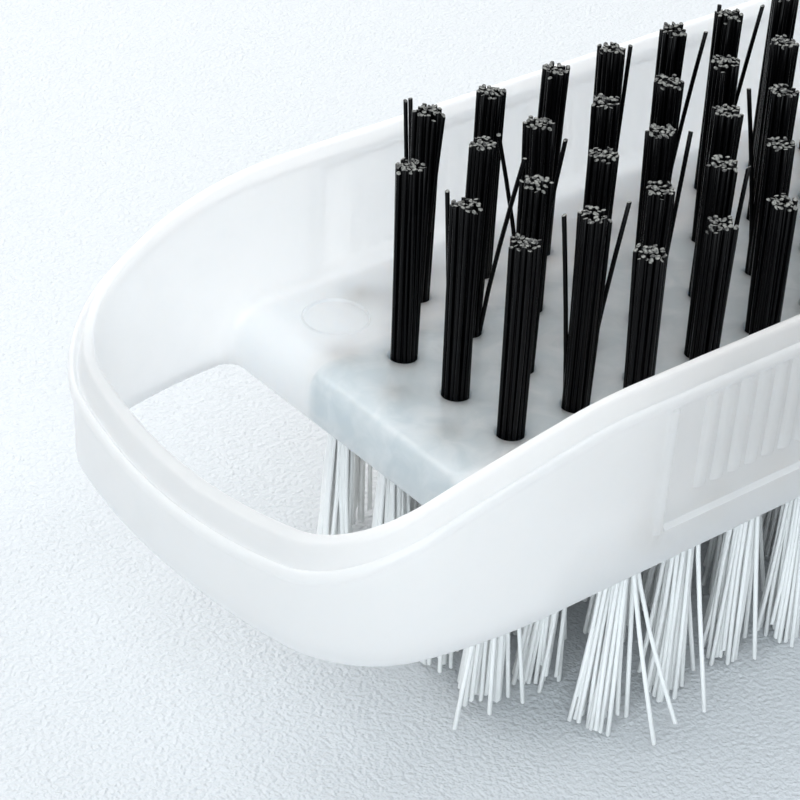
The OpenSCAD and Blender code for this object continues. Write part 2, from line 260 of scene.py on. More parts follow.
class FrameShape:
    """Everything that the frame's patches share, worked out once from its sizes."""

    def __init__(self, sizes):
        self.s = s = sizes
        self.foot, self.top = FRAME_LOW.z, FRAME_HIGH.z
        self.deck_top = self.foot + s.deck
        self.row, self.cross = row_step(), s.cross_step
        self.step_x, self.step_y = self.row / CELL_STEPS, self.cross / CELL_STEPS
        self.upper = tuft_rows(len(UPPER_NODES), UPPER_ACROSS, self.row, self.cross)
        self.lower = tuft_rows(len(LOWER_NODES), LOWER_ACROSS, self.row, self.cross)
        self.field_x = len(UPPER_NODES) * self.row / 2
        self.field_y = UPPER_ACROSS * self.cross / 2
        self.under_x = len(LOWER_NODES) * self.row / 2
        self.under_y = LOWER_ACROSS * self.cross / 2
        self.junction = s.deck_half + s.fillet
        self.split = self.deck_top - s.end_round

    def out_face(self, z):
        """Offset of the wall's outer face from the foot's outline, at height z."""
        return (z - self.foot) * math.tan(self.s.draft_out)

    def in_face(self, z):
        """Offset of the wall's inner face from the foot's outline, at height z."""
        return (z - self.foot) * math.tan(self.s.draft_in) - self.s.wall

    def rim(self, x):
        """Height of the lip: level, then a circular arc, then a straight slope."""
        s, x = self.s, np.abs(x)
        run = s.sweep_r * math.sin(s.rim_slope)
        on_arc = np.clip(x - s.level_half, 0, run)
        beyond = np.maximum(x - s.level_half - run, 0)
        return (self.top - s.sweep_r + np.sqrt(s.sweep_r ** 2 - on_arc ** 2)
                - beyond * math.tan(s.rim_slope))

    def stations(self):
        """The foot's closed outline: its points, its outward normals, and how far along X the
        inner face's points are moved. A bow is three arcs that meet smoothly, and their mirror
        image."""
        s = self.s
        outer = np.arange(round(self.under_x / self.step_x) + 1) * self.step_x
        outer = np.append(outer, [(self.under_x + self.junction) / 2, self.junction])
        turns = quarter_turns(ROUND_STEPS)
        arc = s.deck_half - s.end_round + (s.end_round + s.fillet) * np.sin(turns)
        flat = np.arange(round(self.field_x / self.step_x) + 3) * self.step_x
        inner = np.concatenate([flat, arc])
        x_out, x_in = both_ways(outer), both_ways(inner)
        side = points_of(x_out, s.half_width, 0)[:, :2]

        shoulder_y = s.half_width - s.shoulder_r
        corner_y = shoulder_y + (s.shoulder_r - s.corner_r) * math.cos(s.shoulder_turn)
        end_turn = math.asin(corner_y / (s.end_r - s.corner_r))
        end_x = s.half_length - s.end_r
        corner_x = end_x + (s.end_r - s.corner_r) * math.cos(end_turn)
        shoulder_x = corner_x - (s.shoulder_r - s.corner_r) * math.sin(s.shoulder_turn)
        first = math.asin((self.junction - shoulder_x) / s.shoulder_r)
        end_start = math.pi / 2 - end_turn
        arcs = [((shoulder_x, shoulder_y), s.shoulder_r, first, s.shoulder_turn, SHOULDER_STEPS),
                ((corner_x, corner_y), s.corner_r, s.shoulder_turn, end_start, CORNER_STEPS),
                ((end_x, 0), s.end_r, end_start, math.pi / 2, END_STEPS)]
        ends, normals = [], []
        for centre, radius, start, stop, steps in arcs:
            a = np.linspace(start, stop, steps + 1)[1:, None]
            ray = np.concatenate([np.sin(a), np.cos(a)], axis=1)
            ends.append(np.array(centre) + radius * ray)
            normals.append(ray)
        quarter, quarter_n = np.concatenate(ends), np.concatenate(normals)
        flip = np.array([1.0, -1.0])
        bow = np.concatenate([quarter, quarter[-2::-1] * flip])
        bow_n = np.concatenate([quarter_n, quarter_n[-2::-1] * flip])
        side_n = np.tile([0.0, 1.0], (len(side), 1))
        half = np.concatenate([side, bow])
        half_n = np.concatenate([side_n, bow_n])
        self.side_count, self.half_count = len(side), len(half)
        points, normal = np.concatenate([half, -half]), np.concatenate([half_n, -half_n])
        shift = np.concatenate([x_in - x_out, np.zeros(len(bow))])
        return points, normal, np.concatenate([shift, -shift])

    def notch(self):
        """Height of the inner wall face's lower border at each station: the fillet's top along
        the deck, a quarter circle round the deck's end edge, and level along a bow."""
        s = self.s
        arc = self.split + (s.end_round + s.fillet) * np.cos(quarter_turns(ROUND_STEPS))
        flat = np.full(round(self.field_x / self.step_x) + 3, self.deck_top + s.fillet)
        half = np.concatenate([flat, arc])
        side = np.concatenate([half[:0:-1], half])
        bow = np.full(self.half_count - self.side_count, self.split)
        return np.tile(np.concatenate([side, bow]), 2)


def row_step():
    """Distance between tuft rows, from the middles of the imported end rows."""
    first, last = (sum(c.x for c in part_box(n)) / 2 for n in (UPPER_NODES[0], UPPER_NODES[-1]))
    return round((last - first) / (len(UPPER_NODES) - 1) / MM, 1) * MM


def tuft_rows(rows, across, row, cross):
    """Places of a side's tufts, row by row: the two end rows lack their outermost two."""
    found = []
    for k in range(rows):
        n = across - 2 if k in (0, rows - 1) else across
        found.append(np.array([((k - (rows - 1) / 2) * row, (m - (n - 1) / 2) * cross)
                               for m in range(n)]))
    return found


def band_patches(patches, f):
    """The wall: one profile, from its foot up the outer face, over the beaded rim and down the
    inner face to the deck, carried round the closed outline. A row's height is a fixed part
    plus a share of how far the rim has come down at the point's own X."""
    s = f.s
    base, normal, shift = f.stations()
    turns = quarter_turns(FOOT_STEPS)[:-1]
    rise = np.array(OUTER_ROWS) * MM
    shares = (rise - s.foot_round) / (rise[-1] - s.foot_round)
    # The rim as corners of a rounded line: share of the way from the outer face to the inner
    # one, distance out, and drop below the lip's top
    bead, low = s.bead_drop, s.bead_drop + s.groove
    rim = rounded([(0, 0, 1.95 * MM), (0, 0, 1.81 * MM), (0, s.bead_out, 1.7 * MM),
                   (0, s.bead_out, bead + 0.15 * MM), (0.09, 0, bead - 0.05 * MM),
                   (0.2, 0, low), (0.34, 0, low), (0.46, 0, low / 2), (0.5, 0, 0),
                   (0.75, 0, 0), (1, 0, 0), (1, 0, 0.5 * MM), (1, 0, 0.8 * MM)],
                  RIM_STEPS)
    t = np.linspace(0, 1, INNER_STEPS + 1)[1:]
    height = f.top - f.foot
    fixed = np.concatenate([s.foot_round * (1 - np.cos(turns)), rise, height - rim[1:, 2],
                            (height - rim[-1, 2]) * (1 - t)])
    follows = np.concatenate([0 * turns, shares, np.ones(len(rim) - 1), 1 - t])
    across = np.concatenate([0 * turns, 0 * rise, rim[1:, 0], np.ones(len(t))])
    out = np.concatenate([-s.foot_round * (1 - np.sin(turns)), 0 * rise, rim[1:, 1], 0 * t])
    down_to = np.zeros((len(base), len(fixed)))
    down_to[:, -len(t):] = (f.notch()[:, None] - f.foot) * t
    # The rim's height follows X, and X follows the wall's lean at that height: three rounds
    # settle both
    x = base[:, :1] + 0 * down_to
    for _ in range(3):
        z = f.foot + fixed + down_to + follows * (f.rim(x) - f.top)
        offset = f.out_face(z) * (1 - across) + f.in_face(z) * across + out
        x = base[:, :1] + normal[:, :1] * offset + shift[:, None] * across
    y = base[:, 1:] + normal[:, 1:] * offset
    points = points_of(x, y, z)
    loop = np.concatenate([points, points[:1]])
    keep = np.ones((len(base), len(fixed) - 1), bool)
    first, last = len(turns) + PANEL_FIRST, len(turns) + PANEL_LAST
    for start in (0, f.half_count):
        side = np.arange(start, start + f.side_count)
        at = side[np.abs(x[side, first]) < s.panel_half + s.ridge_width + f.step_x]
        keep[at[:-1], first - 1:last + 1] = False
        panel_patch(patches, f, points[at[0]:at[-1] + 1, first - 1:last + 2])
    patches.grid(loop, keep)
    return base, normal


def panel_patch(patches, f, coarse):
    """One sunk grip panel with its ribs, on a finer grid between the wall's own stations. A rib
    is half an ellipse: its height times the root of 1 - (u / half width)^2, where u is the way
    from its middle. At its ends the panel eases up beside a soft ridge. coarse holds the wall's
    points from the row under the panel to the row over it."""
    s = f.s
    body = coarse[:, 1:-1]
    steps = FINE * (len(body) - 1)
    at = np.arange(steps + 1) / FINE
    low = np.minimum(at.astype(int), len(body) - 2)
    part = (at - low)[:, None, None]
    fine = body[low] * (1 - part) + body[low + 1] * part
    x = fine[:, :, 0]
    u = x - s.rib_pitch * (np.floor(x / s.rib_pitch) + 0.5)
    rib = s.rib_high * np.sqrt(np.maximum(1 - (u / s.rib_wide) ** 2, 0))
    rib *= np.abs(x) < s.rib_half
    beyond = (np.abs(x) - s.panel_half) / s.ridge_width
    sunk = s.panel_depth * ease(-beyond * 3) - s.ridge * ease(1 - np.abs(2 * beyond - 1))
    sunk[:, [0, -1]] = 0
    fine[:, :, 1] -= np.sign(fine[:, :, 1]) * (sunk - rib * np.array(RIB_SHARES))
    n = patches.grid(fine)
    low_row, high_row = patches.add(coarse[:, 0]), patches.add(coarse[:, -1])
    back = FINE * np.arange(len(body) - 1)[:, None] + np.arange(FINE, -1, -1)
    for row, edge in ((low_row, n[:, 0]), (high_row, n[:, -1])):
        patches.faces += np.column_stack([row[:-1], row[1:], edge[back]]).tolist()


def bow_patches(patches, f, base, normal):
    """Below the deck's top a bow's wall has an inner face, a rounded lower edge and a foot."""
    s = f.s
    turns = quarter_turns(EDGE_STEPS)[1:]
    low = f.foot + s.inner_round
    z = np.concatenate([np.linspace(f.split, low, FACE_STEPS + 1),
                        low - s.inner_round * np.sin(turns), [f.foot]])
    offset = np.concatenate([f.in_face(z[:FACE_STEPS + 1]),
                             f.in_face(low) + s.inner_round * (1 - np.cos(turns)),
                             [-s.foot_round]])
    for start in (f.side_count - 1, f.half_count + f.side_count - 1):
        at = np.arange(start, start + f.half_count - f.side_count + 2) % len(base)
        xy = base[at][:, None] + normal[at][:, None] * offset[None, :, None]
        patches.grid(points_of(xy[..., 0], xy[..., 1], z))


def deck_patches(patches, f):
    """The deck as one sheet laid over its top, down its rounded ends and in under them. Near
    the walls it is lifted along its own normal by a quarter circle, which makes the fillet."""
    s = f.s
    phi = quarter_turns(FILLET_STEPS)
    reach = s.half_width + f.in_face(f.deck_top + s.fillet)
    margin = f.field_y + np.array([1, 2]) * f.step_y
    curve = reach - s.fillet * (1 - np.sin(phi))
    middle = np.arange(round(2 * f.field_y / f.step_y) + 1) * f.step_y - f.field_y
    beside = np.concatenate([margin, curve])
    y0 = np.concatenate([-beside[::-1], middle, beside])
    side = np.sign(y0) * (np.abs(y0) > f.field_y + 0.1 * f.step_y)
    wall_share = np.clip((np.abs(y0) - f.field_y) / (curve[0] - f.field_y), 0, 1)
    phis = np.zeros(len(y0))
    phis[-len(phi):], phis[:len(phi)] = phi, phi[::-1]
    lift = s.fillet * (1 - np.cos(phis))
    blend = ease((np.abs(y0) - s.crisp_half) / s.crisp_blend)
    radius = s.crisp_round + (s.end_round - s.crisp_round) * blend

    # One half along X, row by row: flat top, end round, end face, lower edge, underside
    columns = len(y0)
    flat = np.arange(round(f.field_x / f.step_x) + 3) * f.step_x
    rows_x = [np.full(columns, v) for v in flat]
    rows_z = [f.deck_top + lift for _ in flat]
    for a in quarter_turns(ROUND_STEPS):
        rows_x.append(s.deck_half - radius + (radius + lift) * math.sin(a))
        rows_z.append(f.deck_top - radius + (radius + lift) * math.cos(a))
    low = f.foot + s.inner_round
    for share in np.linspace(0, 1, FACE_STEPS + 1)[1:]:
        rows_x.append(s.deck_half + lift)
        rows_z.append((f.deck_top - radius) * (1 - share) + low * share)
    rows_x, rows_z = np.array(rows_x), np.array(rows_z)
    rows_y = y0 + side * wall_share * (f.in_face(rows_z) - f.in_face(f.deck_top + lift))
    ends = []
    for a in quarter_turns(EDGE_STEPS)[1:]:
        back = s.inner_round * (1 - math.cos(a))
        ends.append((rows_x[-1] - back * np.cos(phis), rows_y[-1] + side * back * np.sin(phis),
                     np.full(columns, low - s.inner_round * math.sin(a))))
    under = np.arange(round(2 * f.under_y / f.step_y) + 1) * f.step_y - f.under_y
    brim = f.under_y + BRIM * MM
    under = np.concatenate([[-brim], under, [brim]])
    last_x, last_y, last_z = ends[-1]
    ends.append(((last_x + f.under_x) / 2, (last_y + under) / 2, last_z))
    ends.append((np.full(columns, f.under_x), under, last_z))
    rows_x = np.concatenate([rows_x, [e[0] for e in ends]])
    rows_y = np.concatenate([rows_y, [e[1] for e in ends]])
    rows_z = np.concatenate([rows_z, [e[2] for e in ends]])
    x = np.concatenate([-rows_x[:0:-1], rows_x])
    y, z = (np.concatenate([a[:0:-1], a]) for a in (rows_y, rows_z))
    sheet = points_of(x, y, z)

    top = z[:-1, :-1] > f.deck_top - 0.5 * s.crisp_round
    mid_x = np.abs(x[:-1, :-1] + x[1:, 1:]) / 2
    mid_y = np.abs(y[:-1, :-1] + y[1:, 1:]) / 2
    field = (mid_x < f.field_x) & (mid_y < f.field_y)
    corner = ((mid_x > f.field_x - f.row) & (mid_x < f.field_x + 2 * f.step_x)
              & (mid_y > f.field_y - f.cross) & (mid_y < f.field_y + 2 * f.step_y))
    patches.grid(sheet, ~(top & (field | corner)))

    # The underside's borders: beside the tuft cells, and beside the sheet's own ends
    x_out = np.arange(round(2 * f.under_x / f.step_x) + 1) * f.step_x - f.under_x
    rim_y = s.half_width - s.foot_round
    for sign in (1, -1):
        edges = np.array([f.under_y, brim, rim_y]) * sign
        patches.grid(points_of(x_out[:, None], edges[None], f.foot))
        for end in (1, -1):
            inner = sheet[(-3, -2, -1), -1 if sign > 0 else 0]
            inner[:, 0] *= end
            outer = inner.copy()
            outer[:, 0] = np.array([f.junction, (f.junction + f.under_x) / 2, f.under_x]) * end
            outer[:, 1] = rim_y * sign
            patches.grid(np.stack([inner, outer]))


def cell_ring(centre, half_x, half_y, steps):
    """Points round the border of rectangles, from a corner on, evenly spaced on each side."""
    u = np.linspace(-1, 1, steps, endpoint=False)
    one = np.ones(steps)
    x, y = np.concatenate([one, -u, -one, u]), np.concatenate([u, one, -u, -one])
    return np.stack([centre[:, 0, None] + half_x * x, centre[:, 1, None] + half_y * y], -1)


def round_holes(patches, centre, half, steps, level, profile, spot=None):
    """Square cells whose middle goes down, or up, in round rings. profile is a list of radius
    and height from level; the last ring is closed by a fan."""
    spot = centre if spot is None else spot
    border = cell_ring(centre, half[0], half[1], steps)
    a = -math.pi / 4 + np.arange(4 * steps) * math.tau / (4 * steps)
    rings = [np.concatenate([border, np.full(border.shape[:2] + (1,), level)], -1)]
    for radius, height in profile:
        x = spot[:, 0, None] + radius * np.cos(a)
        y = spot[:, 1, None] + radius * np.sin(a)
        rings.append(points_of(x, y, level + height))
    n = patches.ringed(np.stack(rings, axis=1))
    centres = np.concatenate([spot, np.full((len(spot), 1), level + profile[-1][1])], 1)
    patches.fans(n[:, -1], patches.add(centres))


def hole_patches(patches, f):
    """The blind tuft holes of both sides, their plain corner cells and the pin marks."""
    s = f.s
    r, half = s.hole_d / 2, (f.row / 2, f.cross / 2)
    bevel = HOLE_BEVEL * MM
    for rows, level, down in ((f.upper, f.deck_top, -1), (f.lower, f.foot, 1)):
        profile = [(r + bevel, 0), (r, down * bevel), (r, down * s.hole_depth)]
        round_holes(patches, np.concatenate(rows), half, CELL_STEPS, level, profile)
    corner = np.array([f.field_x + (2 * f.step_x - f.row) / 2,
                       f.field_y + (2 * f.step_y - f.cross) / 2])
    mark = np.array([f.field_x, f.field_y]) - np.array(MARK_IN) * MM
    signs = np.array([(1, 1), (1, -1), (-1, 1), (-1, -1)])
    m = s.mark_d / 2
    profile = [(m + 2 * s.burr, 0), (m + s.burr, s.burr), (m, -s.mark_depth),
               (m - MARK_SLOPE * MM, -s.mark_depth)]
    sizes = ((f.row + 2 * f.step_x) / 2, (f.cross + 2 * f.step_y) / 2)
    round_holes(patches, corner * signs, sizes, CELL_STEPS + 2, f.deck_top, profile,
                spot=mark * signs)
    k = np.arange(CELL_STEPS + 1)
    for sx, sy in signs:
        x = sx * (f.under_x - k * f.step_x)
        y = sy * (f.under_y - k * f.step_y)
        patches.grid(points_of(x[:, None], y[None], f.foot))


def frame_mesh(s, name):
    """The whole moulding as one closed surface. Its attribute "deck" is 1 on the deck and falls
    to 0 over the fillets; the other, 1 on the deck's middle only, carries painted shade."""
    patches, f = Patches(), FrameShape(s)
    base, normal = band_patches(patches, f)
    bow_patches(patches, f, base, normal)
    deck_patches(patches, f)
    hole_patches(patches, f)
    made = patches.mesh(name)
    place = np.zeros(3 * len(made.vertices))
    made.vertices.foreach_get("co", place)
    x, y = np.abs(place.reshape(-1, 3)[:, :2]).T
    slack = 0.1 * MM
    near = x < s.deck_half + slack
    # The first mask is the deck; the second, the deck's middle, carries painted shade of the
    # black tufts
    for part, far in (("deck", s.half_width - s.wall), ("block", s.crisp_half + s.crisp_blend)):
        values = ease((far - y) / s.crisp_blend) * near
        made.attributes.new(part, "FLOAT", "POINT").data.foreach_set("value", values)
    return made


class UpperBristles(bpy.types.PropertyGroup):
    """Sizes of the stiff upper bristles"""
    count: whole("Filaments", "Filaments in one tuft", 30)
    thick: length("Thickness", "Diameter of one filament", 0.32)
    fan: length("Fan", "How much wider the tuft's radius is at its tips", 0.12)
    tuft_lean: length("Tuft lean", "Typical lean of a whole tuft at its tip", 0.2)
    own_lean: length("Own lean", "Typical lean of one filament at its tip", 0.06)
    stray_share: number("Strays", "Share of stray filaments", 0.008, max=1, subtype="FACTOR")
    stray_low: length("Least stray", "Least reach of a stray's tip", 0.7)
    stray_high: length("Most stray", "Greatest reach of a stray's tip", 3.0)
    bow: length("Bow", "Typical sideways bow of a filament", 0.03)
    uneven: length("Unevenness", "Typical shortness of a filament", 0.2)
    seed: whole("Seed", "Start of the random numbers", 4)


class LowerBristles(bpy.types.PropertyGroup):
    """Sizes of the soft lower bristles"""
    count: whole("Filaments", "Filaments in one tuft", 32)
    thick: length("Thickness", "Diameter of one filament", 0.33)
    fan: length("Fan", "How much wider the tuft's radius is at its tips", 0.75)
    tuft_lean: length("Tuft lean", "Typical lean of a whole tuft at its tip", 0.35)
    own_lean: length("Own lean", "Typical lean of one filament at its tip", 0.25)
    stray_share: number("Strays", "Share of stray filaments", 0.04, max=1, subtype="FACTOR")
    stray_low: length("Least stray", "Least reach of a stray's tip", 0.8)
    stray_high: length("Most stray", "Greatest reach of a stray's tip", 3.2)
    bow: length("Bow", "Typical sideways bow of a filament", 0.12)
    uneven: length("Unevenness", "Typical shortness of a filament", 0.7)
    seed: whole("Seed", "Start of the random numbers", 9)


# Strays that stand out, as row, tuft in its row, and reach of the tip in millimetres
UPPER_STRAYS = ((0, 1, 0.0, 2.2), (1, 4, -0.5, 1.8), (1, 4, 0.0, 1.9), (1, 4, 0.3, -1.2),
                (1, 3, 1.2, -2.9), (1, 1, -1.6, 1.1), (3, 1, 1.3, -1.0), (3, 2, 1.5, -0.9),
                (4, 4, 1.2, -0.3), (5, 4, 2.0, -1.3), (6, 4, 0.5, 1.5), (6, 4, 3.0, -0.4))
LOWER_STRAYS = ((1, 0, 0.9, -4.2), (1, 0, 2.6, -4.3), (2, 0, -0.4, -4.4), (3, 0, 1.2, -2.0),
                (4, 0, -1.0, -2.3), (0, 0, 2.0, -1.6), (0, 0, -0.2, 2.4))
FILAMENT_SIDES = 6
# Places of a filament's rings, as shares of its length outside the hole
FILAMENT_RINGS = np.array([0, 0.25, 0.5, 0.75, 1])
# A cut end: its radius as a share of the filament's, its height, and its typical slope
END_SHARE, END_HIGH, END_SLOPE = 0.88, 0.03 * MM, 0.3
# How a reach grows along a filament, how unevenly a tuft fans, and how far strays turn aside
REACH_POWER, FAN_RANGE, STRAY_TURN = 1.2, (0.5, 1.4), 0.7
# Room between a filament's foot and its hole's bottom, and between the filaments and the wall
FOOT_ROOM, WALL_ROOM = 0.4 * MM, 0.6 * MM


def packed_spots(count):
    """Spots spread evenly over the unit disc: each a golden turn on from the one before, at a
    distance from the middle that grows with the root of its number."""
    k = np.arange(count) + 0.5
    turn, far = math.pi * (3 - math.sqrt(5)) * k, np.sqrt(k / count)
    return far * np.cos(turn), far * np.sin(turn)


def filament_mesh(name, spots, b, strays, hole, level, tip, depth, limit, rng):
    """One row of tufts as closed six-sided rods with slanting cut ends. A rod's middle line
    starts in its hole, packed with the others, and goes out from there by its tip's reach times
    t^1.2 plus its bow times sin(pi t), where t is the share of its length."""
    up = 1 if tip > level else -1
    shape = (len(spots), b.count)
    turn = rng.uniform(0, math.tau, (len(spots), 1))
    x, y = packed_spots(b.count)
    unit = np.stack([x * np.cos(turn) - y * np.sin(turn),
                     x * np.sin(turn) + y * np.cos(turn)], axis=-1)
    reach = unit * b.fan * rng.uniform(*FAN_RANGE, shape + (1,))
    reach += rng.normal(0, b.tuft_lean, (len(spots), 1, 2))
    reach += rng.normal(0, b.own_lean, shape + (2,))
    way = np.arctan2(unit[..., 1], unit[..., 0]) + rng.normal(0, STRAY_TURN, shape)
    far = rng.uniform(b.stray_low, b.stray_high, shape) * (rng.random(shape) < b.stray_share)
    reach += far[..., None] * np.stack([np.cos(way), np.sin(way)], axis=-1)
    for k, (tuft, *to) in enumerate(strays):
        # One of the three filaments that stand furthest out that way, another for each stray
        one = np.argsort(-(unit[tuft] @ np.array(to)))[k % 3]
        reach[tuft, one] = np.array(to) * MM - (hole - b.thick) / 2 * unit[tuft, one]
    bow = rng.normal(0, b.bow, shape + (2,))
    short = np.abs(rng.normal(0, b.uneven, shape)) + rng.uniform(0, b.uneven, (len(spots), 1))
    long = abs(tip - level) - short

    t = FILAMENT_RINGS[:, None]
    start = (spots[:, None] + (hole - b.thick) / 2 * unit)[:, :, None]
    line = start + reach[:, :, None] * t ** REACH_POWER + bow[:, :, None] * np.sin(math.pi * t)
    line = np.concatenate([start, line, line[:, :, -1:]], axis=2)
    line[..., 1] = np.clip(line[..., 1], -limit, limit)
    height = level + up * long[..., None] * t[:, 0]
    in_hole = np.full(shape + (1,), level - up * depth)
    height = np.concatenate([in_hole, height, height[..., -1:] + up * END_HIGH], axis=2)
    a = np.arange(FILAMENT_SIDES) * math.tau / FILAMENT_SIDES
    radius = np.full(height.shape[-1], b.thick / 2)
    radius[-1] *= END_SHARE
    rx, ry = radius[:, None] * np.cos(a), radius[:, None] * np.sin(a)
    slant = rng.normal(0, END_SLOPE, shape + (2,))
    slope = slant[..., 0, None, None] * rx[-2:] + slant[..., 1, None, None] * ry[-2:]
    z = np.repeat(height[..., None], FILAMENT_SIDES, axis=-1)
    z[..., -2:, :] += slope
    points = points_of(line[..., 0, None] + rx, line[..., 1, None] + ry,
                       np.clip(z, CAD_BOX[0][2], CAD_BOX[1][2]))

    n = np.arange(points[..., 0].size).reshape(-1, len(radius), FILAMENT_SIDES)[..., ::up]
    after = np.roll(n, -1, axis=2)
    quads = np.stack([n[:, :-1], after[:, :-1], after[:, 1:], n[:, 1:]], axis=-1)
    ends = [n[:, 0, ::-1], n[:, -1]]
    made = bpy.data.meshes.new(name)
    faces = quads.reshape(-1, 4).tolist() + np.concatenate(ends).tolist()
    made.from_pydata(points.reshape(-1, 3).tolist(), [], faces)
    cut = np.zeros(quads.shape[:3], int)
    cut[:, -1] = 1
    cut = np.concatenate([cut.ravel(), np.zeros(len(n), int), np.ones(len(n), int)])
    made.polygons.foreach_set("material_index", cut)
    made.polygons.foreach_set("use_smooth", cut == 0)
    return made


class Finishes(bpy.types.PropertyGroup):
    """Colours of the materials"""
    plastic: colour("Plastic", "Frosted plastic where it is clearest", "#FBFCFD")
    cloud: colour("Plastic clouds", "Frosted plastic where it is cloudiest", "#F3F6F8")
    # Painted shade: the grey that the dense black tufts cast on the deck's middle
    thick: colour("Thick plastic", "Frosted plastic in the deck's thick middle", "#CFD8DC")
    black: colour("Upper bristles", "Stiff black nylon", "#030304")
    cut_black: colour("Upper cut ends", "Rough cut ends of the black nylon", "#83837E")
    milky: colour("Lower bristles", "Soft milky nylon", "#FCFDFC")
    cut_milky: colour("Lower cut ends", "Rough cut ends of the milky nylon", "#FBFBFA")
    steel: colour("Steel", "Anchor wires", "#B9BCC0")
    floor: colour("Floor", "Grained white sheet", "#D2D5D8")


def add_node(tree, kind, inputs, **settings):
    """Adds a shader node, sets it up, and links or sets each of its named inputs."""
    node = tree.nodes.new(kind)
    for key, value in settings.items():
        setattr(node, key, value)
    for key, value in inputs.items():
        if isinstance(value, bpy.types.NodeSocket):
            tree.links.new(value, node.inputs[key])
        else:
            node.inputs[key].default_value = value
    return node


def new_material(name, finish):
    """A material whose shader has the given finish on its own sockets, and its node tree."""
    material = bpy.data.materials.new(name)
    material.use_nodes = True
    shader = material.node_tree.nodes["Principled BSDF"]
    for key, value in finish.items():
        shader.inputs[key].default_value = value
    return material, material.node_tree, shader


def is_seen(tree):
    """1 for what the camera sees, straight or in a shiny or clear surface, and 0 for the light
    that falls on things."""
    ray = add_node(tree, "ShaderNodeLightPath", {})
    either = add_node(tree, "ShaderNodeMath", {
        0: ray.outputs["Is Camera Ray"], 1: ray.outputs["Is Glossy Ray"]}, operation="MAXIMUM")
    return add_node(tree, "ShaderNodeMath", {
        0: either.outputs["Value"], 1: ray.outputs["Is Transmission Ray"]},
        operation="MAXIMUM").outputs["Value"]


def frosted_polypropylene(c):
    """Natural polypropylene from a mould with a fine matt texture. It gives the eye a milky
    glow, because light spreads far in it, a broad soft shine, and faint clouds a few
    millimetres wide where it cooled unevenly. The deck's middle, among the black tufts, is
    painted greyer as shade of the dense tufts, mottled by flow marks, and drawn a little clearer."""
    material, tree, shader = new_material("frosted_polypropylene", {
        "Roughness": 0.3, "IOR": 1.49,
        "Subsurface Weight": 0.88, "Subsurface Radius": (0.9, 1.0, 1.1)})
    place = add_node(tree, "ShaderNodeTexCoord", {}).outputs["Object"]
    clouds = add_node(tree, "ShaderNodeTexNoise", {
        "Vector": place, "Scale": 1 / (7 * MM), "Detail": 3.0, "Roughness": 0.55})
    share = add_node(tree, "ShaderNodeMapRange", {
        "Value": clouds.outputs["Fac"], "From Min": 0.35, "From Max": 0.7})
    mix = add_node(tree, "ShaderNodeMix", {
        "Factor": share.outputs["Result"], "A": (*c.plastic, 1), "B": (*c.cloud, 1)},
        data_type="RGBA")
    flows = add_node(tree, "ShaderNodeTexNoise", {
        "Vector": place, "Scale": 1 / (2.2 * MM), "Detail": 3.0, "Distortion": 0.8})
    clear = add_node(tree, "ShaderNodeMapRange", {
        "Value": flows.outputs["Fac"], "From Min": 0.36, "From Max": 0.6, "To Min": 0.7})
    # Painted shade of the black tufts on the deck's middle, mottled by flow marks; there the
    # plastic is also drawn a little clearer
    block = add_node(tree, "ShaderNodeAttribute", {}, attribute_name="block")
    shade_and_flow = add_node(tree, "ShaderNodeMath", {
        0: block.outputs["Fac"], 1: clear.outputs["Result"]}, operation="MULTIPLY")
    tone = add_node(tree, "ShaderNodeMix", {
        "Factor": shade_and_flow.outputs["Value"], "A": mix.outputs["Result"], "B": (*c.thick, 1)},
        data_type="RGBA")
    tree.links.new(tone.outputs["Result"], shader.inputs["Base Color"])
    passes = add_node(tree, "ShaderNodeMapRange", {
        "Value": shade_and_flow.outputs["Value"], "To Min": 0.12, "To Max": 0.2})
    tree.links.new(passes.outputs["Result"], shader.inputs["Transmission Weight"])
    deck = add_node(tree, "ShaderNodeAttribute", {}, attribute_name="deck")
    spread = add_node(tree, "ShaderNodeMapRange", {
        "Value": deck.outputs["Fac"], "To Min": 20 * MM, "To Max": 7 * MM})
    tree.links.new(spread.outputs["Result"], shader.inputs["Subsurface Scale"])
    # The mould's texture is finer than a tenth of a millimetre: it is drawn coarser, to show
    grain = add_node(tree, "ShaderNodeTexNoise", {
        "Vector": place, "Scale": 1 / (0.35 * MM), "Detail": 2.0})
    bump = add_node(tree, "ShaderNodeBump", {
        "Height": grain.outputs["Fac"], "Strength": 0.35, "Distance": 0.02 * MM})
    tree.links.new(bump.outputs["Normal"], shader.inputs["Normal"])
    return material


def black_nylon(c):
    """Black nylon filament, extruded smooth. It gives the eye deep black tufts with thin
    lines of light. The tufts swallow most of the shine, so the specular level is low."""
    return new_material("glossy_black_nylon", {
        "Base Color": (*c.black, 1), "Roughness": 0.24, "IOR": 1.53,
        "Specular IOR Level": 0.1})[0]


def cut_nylon(name, light, dark):
    """Sheared nylon. It gives the eye dull, mottled tips, paler where the cut tore. The tears
    are finer on the real one: they are drawn at a quarter of a millimetre, to show."""
    material, tree, shader = new_material(name, {"Roughness": 0.6, "IOR": 1.53})
    place = add_node(tree, "ShaderNodeTexCoord", {}).outputs["Object"]
    spots = add_node(tree, "ShaderNodeTexNoise", {
        "Vector": place, "Scale": 1 / (0.25 * MM), "Detail": 1.0})
    share = add_node(tree, "ShaderNodeMapRange", {
        "Value": spots.outputs["Fac"], "From Min": 0.38, "From Max": 0.62})
    mix = add_node(tree, "ShaderNodeMix", {
        "Factor": share.outputs["Result"], "A": (*dark, 1), "B": (*light, 1)},
        data_type="RGBA")
    tree.links.new(mix.outputs["Result"], shader.inputs["Base Color"])
    return material


